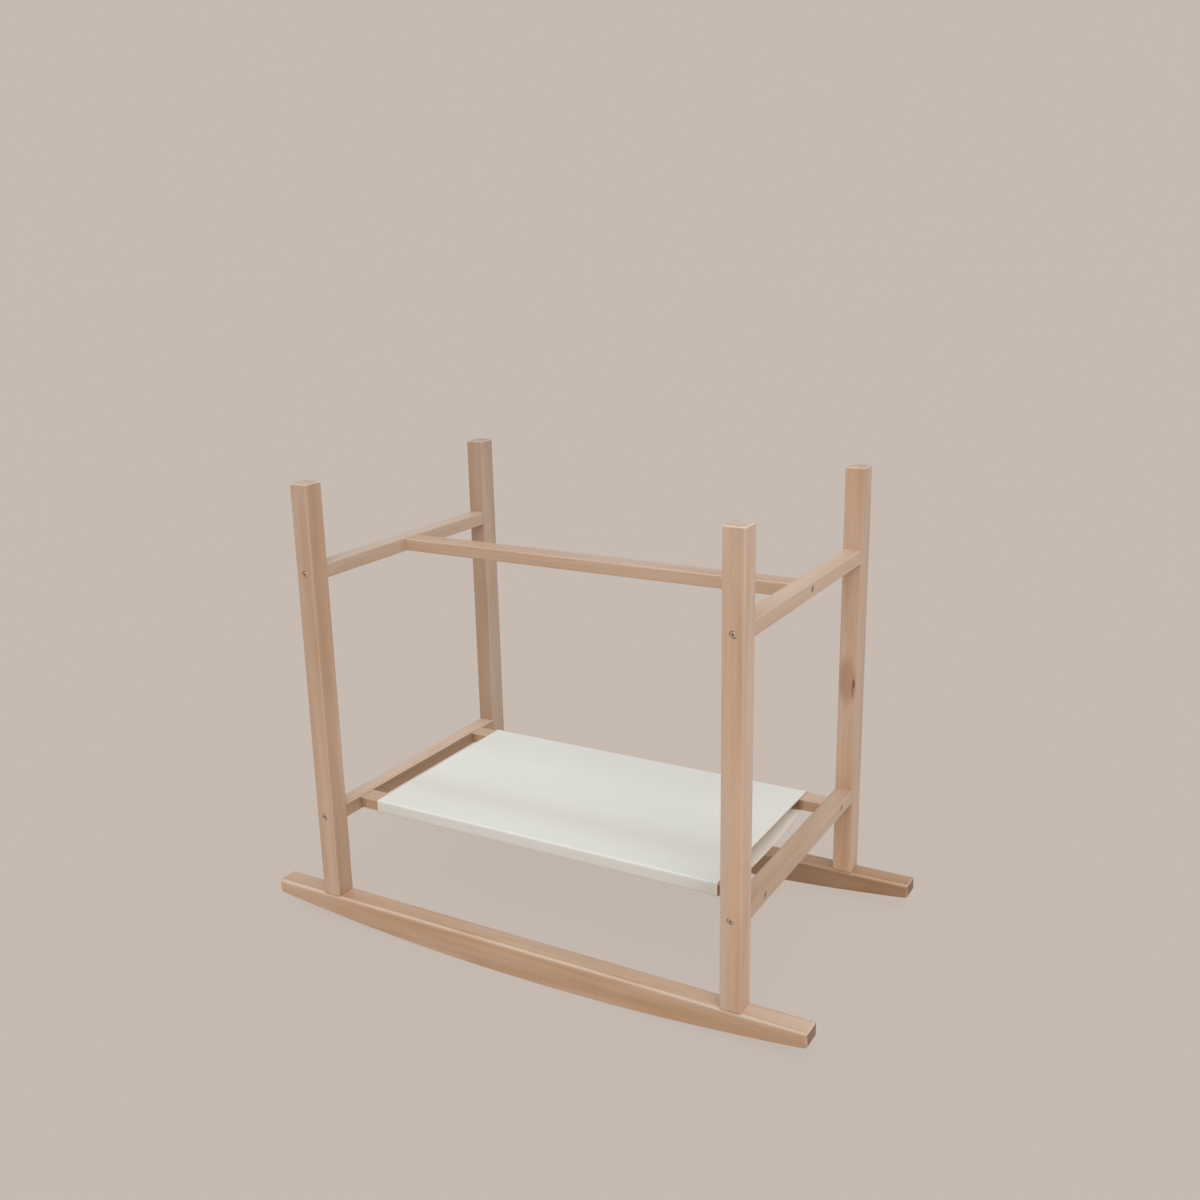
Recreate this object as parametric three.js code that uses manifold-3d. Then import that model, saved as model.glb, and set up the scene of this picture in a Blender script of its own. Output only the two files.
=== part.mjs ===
// A rocking stand for a moses basket, in millimetres, with Z up.
// Two rockers, flat above and swept below, carry four square posts. Two short top rails and a
// long rail between their middles form the H that the basket lies on. Two lower rails carry a
// cloth shelf, whose long edges are sewn into tunnels over wooden slats. Each rail is held by
// bolts with sunk heads that end in barrel nuts, and a dowel beside each bolt stops the rail
// from turning. The slats are screwed, and the posts stand on the rockers on glued dowels.
//
// X runs along the rockers and Y from front to back. The origin is on the floor, under the
// middle of the stand.

import * as THREE from "three";
import { mergeVertices } from "three/addons/utils/BufferGeometryUtils.js";
import Module from "manifold-3d";

const wasm = await Module();
wasm.setup();

// Posts
const postWidth = 27;
const postDepth = 30;
const postLength = 576;
const postSpacingAlong = 600;
const postSpacingAcross = 388;
const postCornerRadius = 2.5;
const postTopBevel = 2.2;

// Rockers
const rockerOverhang = 82.5;
const rockerHeight = 42;
const rockerTipHeight = 19.5;
const rockerRestingFlat = 24;
const rockerTipTopRadius = 3.5;
const rockerTipBottomRadius = 5;
const rockerArris = 2.2;

// Short rails, whose levels are the heights of their tops above the rockers
const railWidth = 24;
const railHeight = 19;
const railArris = 1.5;
const topRailLevel = 467;
const lowerRailLevel = 126;

// Long rail of the H
const longRailWidth = 30;
const longRailHeight = 17;

// Shelf slats and the cloth on them
const slatWidth = 28;
const slatHeight = 15.5;
const slatArris = 1.5;
const slatInset = 30.5;
const slatBareEnd = 30.5;
const clothThickness = 0.8;
const clothSag = 3;

// Bolts and barrel nuts
const boltDiameter = 6;
const boltHeadDiameter = 9;
const boltHeadHeight = 2.4;
const boltSocketWidth = 4;
const boltSocketDepth = 1.7;
const boltTipChamfer = 1;
const boltPastNut = 2;
const nutDiameter = 10;
const nutLength = 12;
const nutSetback = 20;
const nutSlotWidth = 1.6;
const nutSlotDepth = 1.5;

// Slat screws
const screwDiameter = 4;
const screwHeadDiameter = 8;
const screwHeadHeight = 2;
const screwGrip = 26;
const screwPointLength = 5;
const screwRecessWidth = 1;
const screwRecessSpan = 4.4;
const screwRecessDepth = 1.2;

// Wooden dowels
const railDowelDiameter = 5;
const railDowelOffset = 7.5;
const railDowelInPost = 12;
const railDowelInRail = 12;
const longDowelDiameter = 6;
const longDowelOffset = 9;
const longDowelInTopRail = 12;
const longDowelInLongRail = 12;
const postDowelDiameter = 8;
const postDowelSpacing = 12;
const postDowelInRocker = 16;
const postDowelInPost = 24;
const dowelEndChamfer = 0.8;

// Clearances
const seatClearance = 0.1;
const boreClearance = 0.25;
const boreEndClearance = 1;
const headClearance = 0.5;
const headSetback = 0.4;
const tunnelClearance = 0.3;
const cutOverrun = 5;
const bevelLimitShare = 0.9;

// Counts of the facets that stand for round surfaces
const arrisSteps = 2;
const tipSteps = 4;
const sweepSteps = 13;
const roundSides = 16;
const dowelSides = 12;
const domeSteps = 3;
const sagSteps = 12;
const hexagonSides = 6;

// Derived places
const rockerLength = postSpacingAlong + postWidth + 2 * rockerOverhang;
const rockerThickness = postDepth;
const postFoot = rockerHeight + seatClearance;
const topRailCentre = rockerHeight + topRailLevel - railHeight / 2;
const lowerRailCentre = rockerHeight + lowerRailLevel - railHeight / 2;
const postInnerFace = (postSpacingAcross - postDepth) / 2;
const railLength = 2 * (postInnerFace - seatClearance);
const railInnerFace = (postSpacingAlong - railWidth) / 2;
const betweenRails = 2 * (railInnerFace - seatClearance);
const slatPlace = postInnerFace - slatInset - slatWidth / 2;
const slatCentre = rockerHeight + lowerRailLevel - clothThickness - tunnelClearance - slatHeight / 2;
const boltReach = nutSetback + nutDiameter / 2 + boltPastNut;

const ends = [
  { word: "left", sign: -1 },
  { word: "right", sign: 1 },
];
const sides = [
  { word: "front", sign: -1 },
  { word: "back", sign: 1 },
];
const levels = [
  { word: "top", centre: topRailCentre },
  { word: "lower", centre: lowerRailCentre },
];

// What is bored for each headed fastener
const bolt = {
  diameter: boltDiameter,
  headDiameter: boltHeadDiameter,
  recess: boltHeadHeight + headSetback,
};
const screw = {
  diameter: screwDiameter,
  headDiameter: screwHeadDiameter,
  recess: screwHeadHeight + headSetback,
};

// Finishes
function beech() {
  return new THREE.MeshStandardMaterial({ color: 0xc9a67e, roughness: 0.62, metalness: 0 });
}

function dowelWood() {
  return new THREE.MeshStandardMaterial({ color: 0xd8bd92, roughness: 0.75, metalness: 0 });
}

function canvas() {
  return new THREE.MeshStandardMaterial({ color: 0xe6e5df, roughness: 0.95, metalness: 0 });
}

function steel() {
  return new THREE.MeshStandardMaterial({ color: 0xb9b7b1, roughness: 0.35, metalness: 1 });
}

// Solids: a closed geometry becomes one that can be cut, and comes back as a geometry.
function solidFrom(geometry) {
  const bare = geometry.index ? geometry.toNonIndexed() : geometry.clone();
  bare.deleteAttribute("normal");
  bare.deleteAttribute("uv");
  const welded = mergeVertices(bare);
  const mesh = new wasm.Mesh({
    numProp: 3,
    vertProperties: welded.attributes.position.array,
    triVerts: new Uint32Array(welded.index.array),
  });
  return new wasm.Manifold(mesh);
}

function geometryFrom(solid) {
  const mesh = solid.getMesh();
  const geometry = new THREE.BufferGeometry();
  geometry.setAttribute("position", new THREE.BufferAttribute(mesh.vertProperties, mesh.numProp));
  geometry.setIndex(new THREE.BufferAttribute(mesh.triVerts, 1));
  const faceted = geometry.toNonIndexed();
  faceted.computeVertexNormals();
  return faceted;
}

function cutFrom(blank, cutters) {
  const cut = (solid, cutter) => solid.subtract(solidFrom(cutter));
  return geometryFrom(cutters.reduce(cut, solidFrom(blank)));
}

// Outlines
const quarterTurn = Math.PI / 2;

// Points along a round stretch of an outline, both ends included.
function arcPoints(centre, radius, startAngle, endAngle, steps) {
  return Array.from({ length: steps + 1 }, (unused, i) => {
    const angle = startAngle + ((endAngle - startAngle) * i) / steps;
    const x = centre.x + radius * Math.cos(angle);
    const y = centre.y + radius * Math.sin(angle);
    return new THREE.Vector2(x, y);
  });
}

// A quarter round, counted in quarter turns from the one between right and up.
function cornerPoints(x, y, radius, quarter) {
  const start = quarter * quarterTurn;
  return arcPoints(new THREE.Vector2(x, y), radius, start, start + quarterTurn, arrisSteps);
}

// The outline of a lath with eased corners, counterclockwise.
function easedRectangle(width, height, radius, centreX = 0) {
  const right = centreX + width / 2 - radius;
  const left = centreX - width / 2 + radius;
  const up = height / 2 - radius;
  return [
    ...cornerPoints(right, up, radius, 0),
    ...cornerPoints(left, up, radius, 1),
    ...cornerPoints(left, -up, radius, 2),
    ...cornerPoints(right, -up, radius, 3),
  ];
}

function lathSection(width, height, radius) {
  return new THREE.Shape(easedRectangle(width, height, radius));
}

// Extrusion settings for rounded rims that stay within the size that the outline gives.
function roundedRims(size, smallestRadius) {
  const bevel = Math.min(size, bevelLimitShare * smallestRadius);
  return {
    bevelEnabled: true,
    bevelSize: bevel,
    bevelThickness: bevel,
    bevelOffset: -bevel,
    bevelSegments: arrisSteps,
  };
}

// A shape pushed out along one axis, half to each side. The shape's own axes are Y and Z
// when it goes along x, X and Z along y, and X and Y along z. The length takes in the rims.
function pushedOut(axis, shape, length, rims = { bevelEnabled: false, bevelThickness: 0 }) {
  const depth = length - 2 * rims.bevelThickness;
  const geometry = new THREE.ExtrudeGeometry(shape, { depth, ...rims });
  geometry.translate(0, 0, -depth / 2);
  if (axis === "x") geometry.rotateZ(quarterTurn).rotateY(quarterTurn);
  if (axis === "y") geometry.rotateX(quarterTurn);
  return geometry;
}

// A round bar along an axis, between two places on it.
function roundBar(axis, diameter, from, to, centre = new THREE.Vector3(), roundness = roundSides) {
  const bar = new THREE.CylinderGeometry(diameter / 2, diameter / 2, Math.abs(to - from), roundness);
  if (axis === "x") bar.rotateZ(-quarterTurn);
  if (axis === "z") bar.rotateX(quarterTurn);
  const middle = centre.clone();
  middle[axis] = (from + to) / 2;
  return bar.translate(middle.x, middle.y, middle.z);
}

// Bores
function boreFor(axis, diameter, from, to, centre) {
  return roundBar(axis, diameter + 2 * boreClearance, from, to, centre);
}

// A blind bore for a dowel that opens on a face and goes inwards, the way of the sign.
function dowelBore(axis, diameter, face, inward, depth, centre) {
  const mouth = face - inward * cutOverrun;
  const end = face + inward * (depth + boreEndClearance);
  return roundBar(axis, diameter + 2 * boreClearance, mouth, end, centre, dowelSides);
}

// A bore right through a piece, with a wider seat that sinks the head below its outer face.
function headedBore(axis, fastener, outerFace, outward, thickness, centre) {
  const mouth = outerFace + outward * cutOverrun;
  const seat = outerFace - outward * fastener.recess;
  const exit = outerFace - outward * (thickness + cutOverrun);
  return [
    boreFor(axis, fastener.diameter, exit, mouth, centre),
    roundBar(axis, fastener.headDiameter + 2 * headClearance, seat, mouth, centre),
  ];
}

// The bolt's bore in the end of a rail, and the barrel nut's, which is drilled from below.
function boltAndNutBores(axis, endFace, inward, thickness) {
  const nutCentre = new THREE.Vector3();
  nutCentre[axis] = endFace + inward * nutSetback;
  const boltEnd = endFace + inward * (boltReach + boreEndClearance);
  const nutTop = nutLength / 2 + boreClearance;
  return [
    boreFor(axis, boltDiameter, endFace - inward * cutOverrun, boltEnd),
    boreFor("z", nutDiameter, -thickness / 2 - cutOverrun, nutTop, nutCentre),
  ];
}

function named(name, geometry, material, x, y, z) {
  const mesh = new THREE.Mesh(geometry, material);
  mesh.name = name;
  mesh.position.set(x, y, z);
  return mesh;
}

// The rocker seen from the side: a straight top, a long shallow sweep below with a short flat
// in its middle where the stand rests level, and blunt tips with rounded corners.
function rockerShape() {
  const reach = rockerLength / 2;
  const flat = rockerRestingFlat / 2;
  const rise = rockerHeight - rockerTipHeight;
  const sweepHeight = ((reach ** 2 - flat ** 2) / rise + rise) / 2;
  const sweepCentre = new THREE.Vector2(0, sweepHeight);
  const sweepRadius = Math.hypot(sweepHeight, flat);

  const lowCornerX = reach - rockerTipBottomRadius;
  const lowCornerDrop = Math.sqrt((sweepRadius - rockerTipBottomRadius) ** 2 - lowCornerX ** 2);
  const lowCorner = new THREE.Vector2(lowCornerX, sweepHeight - lowCornerDrop);
  const highCorner = new THREE.Vector2(reach - rockerTipTopRadius, rockerHeight - rockerTipTopRadius);

  const flatAngle = Math.atan2(-sweepHeight, flat);
  const tipAngle = Math.atan2(-lowCornerDrop, lowCornerX);
  const rightHalf = [
    ...arcPoints(sweepCentre, sweepRadius, flatAngle, tipAngle, sweepSteps).slice(0, -1),
    ...arcPoints(lowCorner, rockerTipBottomRadius, tipAngle, 0, tipSteps),
    ...arcPoints(highCorner, rockerTipTopRadius, 0, quarterTurn, tipSteps),
  ];
  const leftHalf = rightHalf.map((point) => new THREE.Vector2(-point.x, point.y)).reverse();
  return new THREE.Shape([...rightHalf, ...leftHalf]);
}

// Two dowels side by side under each post, as shifts from its middle towards the tip.
const postDowels = [
  { word: "outer", shift: postDowelSpacing / 2 },
  { word: "inner", shift: -postDowelSpacing / 2 },
];

function rockerGeometry() {
  const rims = roundedRims(rockerArris, Math.min(rockerTipTopRadius, rockerTipBottomRadius));
  const bores = ends.flatMap((end) =>
    postDowels.map(({ shift }) => {
      const centre = new THREE.Vector3(end.sign * (postSpacingAlong / 2 + shift), 0, 0);
      return dowelBore("z", postDowelDiameter, rockerHeight, -1, postDowelInRocker, centre);
    }),
  );
  return cutFrom(pushedOut("y", rockerShape(), rockerThickness, rims), bores);
}

// A post stands on its foot at z = 0, with a rounded rim at its top and a square-cut foot.
function postBlank() {
  const section = lathSection(postWidth, postDepth, postCornerRadius);
  const uncut = postLength + cutOverrun;
  const blank = pushedOut("z", section, uncut, roundedRims(postTopBevel, postCornerRadius));
  return blank.translate(0, 0, postLength - uncut / 2);
}

function belowFoot() {
  const slab = new THREE.BoxGeometry(postWidth + cutOverrun, postDepth + cutOverrun, 2 * cutOverrun);
  return slab.translate(0, 0, -cutOverrun);
}

// The bolts pass through the post from its outer face. The rail dowels enter its inner face.
function postGeometry(end, side) {
  const outerFace = (side.sign * postDepth) / 2;
  const railBores = levels.flatMap(({ centre }) => {
    const height = centre - postFoot;
    const boltAxis = new THREE.Vector3(0, 0, height);
    const dowelAxis = new THREE.Vector3(-end.sign * railDowelOffset, 0, height);
    return [
      ...headedBore("y", bolt, outerFace, side.sign, postDepth, boltAxis),
      dowelBore("y", railDowelDiameter, -outerFace, side.sign, railDowelInPost, dowelAxis),
    ];
  });
  const footBores = postDowels.map(({ shift }) => {
    const centre = new THREE.Vector3(end.sign * shift, 0, 0);
    return dowelBore("z", postDowelDiameter, 0, 1, postDowelInPost, centre);
  });
  return cutFrom(postBlank(), [belowFoot(), ...railBores, ...footBores]);
}

function shortRailBlank() {
  return pushedOut("y", lathSection(railWidth, railHeight, railArris), railLength);
}

// What joins a short rail to the posts of its end.
function shortRailBores(end) {
  const dowelAxis = new THREE.Vector3(-end.sign * railDowelOffset, 0, 0);
  return sides.flatMap((side) => {
    const endFace = (side.sign * railLength) / 2;
    return [
      ...boltAndNutBores("y", endFace, -side.sign, railHeight),
      dowelBore("y", railDowelDiameter, endFace, -side.sign, railDowelInRail, dowelAxis),
    ];
  });
}

// A top rail also takes the long rail's bolt and dowel at its middle.
function topRailGeometry(end) {
  const outerFace = (end.sign * railWidth) / 2;
  const dowelAxis = new THREE.Vector3(0, longDowelOffset, 0);
  return cutFrom(shortRailBlank(), [
    ...shortRailBores(end),
    ...headedBore("x", bolt, outerFace, end.sign, railWidth, new THREE.Vector3()),
    dowelBore("x", longDowelDiameter, -outerFace, end.sign, longDowelInTopRail, dowelAxis),
  ]);
}

// A lower rail also takes the screws of the two shelf slats.
function lowerRailGeometry(end) {
  const outerFace = (end.sign * railWidth) / 2;
  const screwBores = sides.flatMap((side) => {
    const centre = new THREE.Vector3(0, side.sign * slatPlace, slatCentre - lowerRailCentre);
    return headedBore("x", screw, outerFace, end.sign, railWidth, centre);
  });
  return cutFrom(shortRailBlank(), [...shortRailBores(end), ...screwBores]);
}

function longRailGeometry() {
  const blank = pushedOut("x", lathSection(longRailWidth, longRailHeight, railArris), betweenRails);
  const dowelAxis = new THREE.Vector3(0, longDowelOffset, 0);
  const bores = ends.flatMap((end) => {
    const endFace = (end.sign * betweenRails) / 2;
    return [
      ...boltAndNutBores("x", endFace, -end.sign, longRailHeight),
      dowelBore("x", longDowelDiameter, endFace, -end.sign, longDowelInLongRail, dowelAxis),
    ];
  });
  return cutFrom(blank, bores);
}

function slatGeometry() {
  const blank = pushedOut("x", lathSection(slatWidth, slatHeight, slatArris), betweenRails);
  const bores = ends.map((end) => {
    const mouth = end.sign * (betweenRails / 2 + cutOverrun);
    const bottom = end.sign * (betweenRails / 2 - screwGrip - boreEndClearance);
    return boreFor("x", screwDiameter, mouth, bottom);
  });
  return cutFrom(blank, bores);
}

// Points of the cloth between its tunnels, which hangs a little in the middle.
function sagPoints(fromY, toY, level) {
  return Array.from({ length: sagSteps + 1 }, (unused, i) => {
    const share = i / sagSteps;
    const drop = clothSag * Math.sin(Math.PI * share) ** 2;
    return new THREE.Vector2(fromY + (toY - fromY) * share, level - drop);
  });
}

// The cloth's section, seen along the slats: one layer between two sewn tunnels. Its heights
// are measured from the middle of the slats.
function coverShape() {
  const wrap = tunnelClearance + clothThickness;
  const radius = slatArris + wrap;
  const top = slatHeight / 2 + wrap;
  const outer = slatPlace + slatWidth / 2 + wrap;
  const inner = slatPlace - slatWidth / 2 - wrap;
  const shape = new THREE.Shape([
    ...cornerPoints(outer - radius, top - radius, radius, 0),
    ...sagPoints(inner, -inner, top),
    ...cornerPoints(-outer + radius, top - radius, radius, 1),
    ...cornerPoints(-outer + radius, -top + radius, radius, 2),
    ...cornerPoints(-inner - radius, -top + radius, radius, 3),
    ...sagPoints(-inner, inner, top - clothThickness),
    ...cornerPoints(inner + radius, -top + radius, radius, 2),
    ...cornerPoints(outer - radius, -top + radius, radius, 3),
  ]);
  const tunnelWidth = slatWidth + 2 * tunnelClearance;
  const tunnelHeight = slatHeight + 2 * tunnelClearance;
  const tunnelRadius = slatArris + tunnelClearance;
  shape.holes = sides.map(({ sign }) => {
    const tunnel = easedRectangle(tunnelWidth, tunnelHeight, tunnelRadius, sign * slatPlace);
    return new THREE.Path(tunnel.reverse());
  });
  return shape;
}

function coverGeometry() {
  return pushedOut("x", coverShape(), betweenRails - 2 * slatBareEnd);
}

// Fasteners lie along +Y, with the underside of the head at y = 0 and the shank beyond it.
// A head is a flat dome whose crown lies at minus its height.
function headProfile(diameter, height) {
  const crown = arcPoints(new THREE.Vector2(), 1, -quarterTurn, 0, domeSteps);
  return crown.map((point) => new THREE.Vector2((point.x * diameter) / 2, point.y * height));
}

// The hexagon socket's width is measured across its flats.
function boltGeometry(shankLength) {
  const radius = boltDiameter / 2;
  const profile = [
    ...headProfile(boltHeadDiameter, boltHeadHeight),
    new THREE.Vector2(radius, 0),
    new THREE.Vector2(radius, shankLength - boltTipChamfer),
    new THREE.Vector2(radius - boltTipChamfer, shankLength),
    new THREE.Vector2(0, shankLength),
  ];
  const acrossCorners = boltSocketWidth / Math.cos(Math.PI / hexagonSides);
  const mouth = -boltHeadHeight - cutOverrun;
  const bottom = -boltHeadHeight + boltSocketDepth;
  const socket = roundBar("y", acrossCorners, mouth, bottom, new THREE.Vector3(), hexagonSides);
  return cutFrom(new THREE.LatheGeometry(profile, roundSides), [socket]);
}

// The screw's cross recess is two slots at a right angle.
function screwGeometry(shankLength) {
  const radius = screwDiameter / 2;
  const profile = [
    ...headProfile(screwHeadDiameter, screwHeadHeight),
    new THREE.Vector2(radius, 0),
    new THREE.Vector2(radius, shankLength - screwPointLength),
    new THREE.Vector2(0, shankLength),
  ];
  const depth = screwRecessDepth + cutOverrun;
  const middle = -screwHeadHeight + screwRecessDepth - depth / 2;
  const upright = new THREE.BoxGeometry(screwRecessWidth, depth, screwRecessSpan);
  const level = new THREE.BoxGeometry(screwRecessSpan, depth, screwRecessWidth);
  const slots = [upright, level].map((slot) => slot.translate(0, middle, 0));
  return cutFrom(new THREE.LatheGeometry(profile, roundSides), slots);
}

// A barrel nut stands upright, with its cross bore along Y and a screwdriver slot below.
function nutGeometry() {
  const blank = roundBar("z", nutDiameter, -nutLength / 2, nutLength / 2);
  const crossBore = boreFor("y", boltDiameter, -nutDiameter, nutDiameter);
  const height = nutSlotDepth + cutOverrun;
  const slot = new THREE.BoxGeometry(nutSlotWidth, nutDiameter + cutOverrun, height);
  slot.translate(0, 0, -nutLength / 2 + nutSlotDepth - height / 2);
  return cutFrom(blank, [crossBore, slot]);
}

// A dowel lies along +Y from y = 0, with chamfered ends.
function dowelGeometry(diameter, length) {
  const radius = diameter / 2;
  const profile = [
    new THREE.Vector2(0, 0),
    new THREE.Vector2(radius - dowelEndChamfer, 0),
    new THREE.Vector2(radius, dowelEndChamfer),
    new THREE.Vector2(radius, length - dowelEndChamfer),
    new THREE.Vector2(radius - dowelEndChamfer, length),
    new THREE.Vector2(0, length),
  ];
  return new THREE.LatheGeometry(profile, dowelSides);
}

// A rail's fixings, made along +Y and turned about Z to point into the rail: the bolt from the
// outer face of what carries the rail, the barrel nut and the dowel. The group's origin is on
// the bolt's line, at the joint between the carrier and the rail.
function railFixings(where, carrierDepth, dowel) {
  const group = new THREE.Group();
  const headSeat = -carrierDepth + bolt.recess - seatClearance;
  const shankLength = seatClearance + boltReach - headSeat;
  const dowelSolid = dowelGeometry(dowel.diameter, dowel.inCarrier + dowel.inRail);
  group.add(
    named(`bolt_${where}`, boltGeometry(shankLength), steel(), 0, headSeat, 0),
    named(`barrel_nut_${where}`, nutGeometry(), steel(), 0, seatClearance + nutSetback, 0),
    named(`dowel_${where}`, dowelSolid, dowelWood(), dowel.offset, -dowel.inCarrier, 0),
  );
  return group;
}

// One end frame: two posts, a top rail and a lower rail, with what holds them together.
function endFrame(end) {
  const frame = new THREE.Group();
  frame.position.x = (end.sign * postSpacingAlong) / 2;
  frame.add(named(`top_rail_${end.word}`, topRailGeometry(end), beech(), 0, 0, topRailCentre));
  frame.add(named(`lower_rail_${end.word}`, lowerRailGeometry(end), beech(), 0, 0, lowerRailCentre));
  sides.forEach((side) => frame.add(...postWithFixings(end, side)));
  return frame;
}

function postWithFixings(end, side) {
  const where = `${side.word}_${end.word}`;
  const place = (side.sign * postSpacingAcross) / 2;
  const post = named(`post_${where}`, postGeometry(end, side), beech(), 0, place, postFoot);

  const dowelLength = postDowelInRocker + postDowelInPost;
  const footDowels = postDowels.map(({ word, shift }) => {
    const name = `post_dowel_${where}_${word}`;
    const lowest = rockerHeight - postDowelInRocker;
    const solid = dowelGeometry(postDowelDiameter, dowelLength);
    const dowel = named(name, solid, dowelWood(), end.sign * shift, place, lowest);
    dowel.rotation.x = quarterTurn;
    return dowel;
  });

  const fixings = levels.map((level) => {
    const group = railFixings(`${level.word}_${where}`, postDepth, {
      diameter: railDowelDiameter,
      inCarrier: railDowelInPost,
      inRail: railDowelInRail,
      offset: side.sign * end.sign * railDowelOffset,
    });
    group.position.set(0, side.sign * postInnerFace, level.centre);
    group.rotation.z = side.sign > 0 ? Math.PI : 0;
    return group;
  });
  return [post, ...footDowels, ...fixings];
}

// The long rail of the H, bolted through the middles of the two top rails.
function longRail() {
  const group = new THREE.Group();
  group.position.z = topRailCentre;
  group.add(named("long_rail", longRailGeometry(), beech(), 0, 0, 0));
  ends.forEach((end) => {
    const fixings = railFixings(`long_rail_${end.word}`, railWidth, {
      diameter: longDowelDiameter,
      inCarrier: longDowelInTopRail,
      inRail: longDowelInLongRail,
      offset: end.sign * longDowelOffset,
    });
    fixings.position.x = end.sign * railInnerFace;
    fixings.rotation.z = end.sign * quarterTurn;
    group.add(fixings);
  });
  return group;
}

// The cloth shelf: two slats between the lower rails, the cloth over them and four screws.
function shelf() {
  const group = new THREE.Group();
  group.position.z = slatCentre;
  group.add(named("shelf_cover", coverGeometry(), canvas(), 0, 0, 0));
  const headSeat = railInnerFace + railWidth - screw.recess + seatClearance;
  const shankLength = headSeat - betweenRails / 2 + screwGrip;
  sides.forEach((side) => {
    const place = side.sign * slatPlace;
    group.add(named(`shelf_slat_${side.word}`, slatGeometry(), beech(), 0, place, 0));
    ends.forEach((end) => {
      const name = `slat_screw_${side.word}_${end.word}`;
      const fixing = named(name, screwGeometry(shankLength), steel(), end.sign * headSeat, place, 0);
      fixing.rotation.z = end.sign * quarterTurn;
      group.add(fixing);
    });
  });
  return group;
}

function rockers() {
  return sides.map((side) => {
    const place = (side.sign * postSpacingAcross) / 2;
    return named(`rocker_${side.word}`, rockerGeometry(), beech(), 0, place, 0);
  });
}

const stand = new THREE.Group();
stand.add(...rockers(), ...ends.map(endFrame), longRail(), shelf());

export default stand;
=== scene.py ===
import math
from collections import namedtuple
from itertools import accumulate

import bmesh
import bpy
from mathutils import Euler, Matrix, Vector, noise


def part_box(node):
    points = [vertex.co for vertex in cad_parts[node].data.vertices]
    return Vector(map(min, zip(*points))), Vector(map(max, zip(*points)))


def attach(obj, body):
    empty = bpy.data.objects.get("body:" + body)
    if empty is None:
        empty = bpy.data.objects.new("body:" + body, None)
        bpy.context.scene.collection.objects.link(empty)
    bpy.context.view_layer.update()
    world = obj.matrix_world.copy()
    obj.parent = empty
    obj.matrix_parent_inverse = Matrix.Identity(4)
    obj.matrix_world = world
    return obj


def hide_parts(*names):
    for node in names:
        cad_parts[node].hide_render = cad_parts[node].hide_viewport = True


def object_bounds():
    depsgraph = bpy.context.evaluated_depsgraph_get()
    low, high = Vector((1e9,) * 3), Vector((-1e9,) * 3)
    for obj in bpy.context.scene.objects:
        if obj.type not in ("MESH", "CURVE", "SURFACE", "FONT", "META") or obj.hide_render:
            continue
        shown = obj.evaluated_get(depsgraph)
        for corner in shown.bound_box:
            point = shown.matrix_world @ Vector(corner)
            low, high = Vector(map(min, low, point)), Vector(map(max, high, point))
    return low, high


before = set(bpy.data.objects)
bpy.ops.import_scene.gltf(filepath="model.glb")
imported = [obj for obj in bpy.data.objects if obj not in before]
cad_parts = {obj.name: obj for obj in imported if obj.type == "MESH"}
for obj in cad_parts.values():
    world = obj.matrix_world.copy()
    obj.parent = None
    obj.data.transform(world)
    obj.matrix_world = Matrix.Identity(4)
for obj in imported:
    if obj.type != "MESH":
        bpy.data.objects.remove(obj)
cad_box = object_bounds()

mm = 0.001
X, Y, Z = 0, 1, 2
body = "root"
levels = ("top", "lower")
sides = ("front", "back")
ends = ("left", "right")
foot_dowels = ("outer", "inner")

# Easing of the woodwork
post_corner_radius = 2.5 * mm
post_top_bevel = 2.2 * mm
rocker_arris = 2.2 * mm
rocker_tip_top_radius = 3.5 * mm
rocker_tip_bottom_radius = 5 * mm
rocker_tip_height = 19.5 * mm
rocker_resting_flat = 24 * mm
rocker_tip_corner = 3.6 * mm
rocker_tip_blend = 9 * mm
rail_arris = 1.5 * mm
rim_easing = 0.3 * mm
arris_segments = 4
wood_smoothing = 40
tip_segments = 6
rim_segments = 2
# How pale the long edges go beside the rims: wear and a painted highlight.
long_edge_wear_and_highlight = 0.22
flat_end_limit = 0.1
end_face_depth = 0.05 * mm
sweep_sides = 2360

# How near to its place an edge or a point has to lie to be picked
plane_tolerance = 0.01 * mm
tip_tolerance = 0.5 * mm
rim_level_tolerance = 0.02 * mm
rim_radius_tolerance = 0.05 * mm
merge_distance = 0.001 * mm
straight = 0.999

# Bores for the fittings
bolt_bore_radius = 3.25 * mm
bolt_pocket_radius = 4.7 * mm
bolt_pocket_depth = 2.8 * mm
screw_bore_radius = 2.25 * mm
screw_pocket_radius = 4.5 * mm
screw_pocket_depth = 2.4 * mm
pin_clearance = 0.25 * mm
bore_end = 1 * mm
overrun = 2 * mm
bore_sides = 48

# Bolts, barrel nuts and screws
bolt_radius = 3 * mm
bolt_tip_chamfer = 0.8 * mm
bolt_head_radius = 4.5 * mm
bolt_head_height = 2.4 * mm
bolt_head_side = 0.7 * mm
bolt_socket_sides = 6
bolt_socket_width = 4 * mm
bolt_socket_depth = 1.7 * mm
nut_radius = 5 * mm
nut_easing = 0.5 * mm
nut_slot_width = 1.4 * mm
nut_slot_depth = 1.6 * mm
screw_radius = 2 * mm
screw_tip_radius = 0.2 * mm
screw_point = 4 * mm
screw_head_radius = 4 * mm
screw_head_height = 2 * mm
screw_head_side = 0.5 * mm
cross_span = 4.4 * mm
cross_width = 1 * mm
cross_depth = 1.2 * mm
dome_steps = 6
steel_smoothing = 30
recess_wall_slope = 0.3
recess_middle = 0.1 * mm

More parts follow.
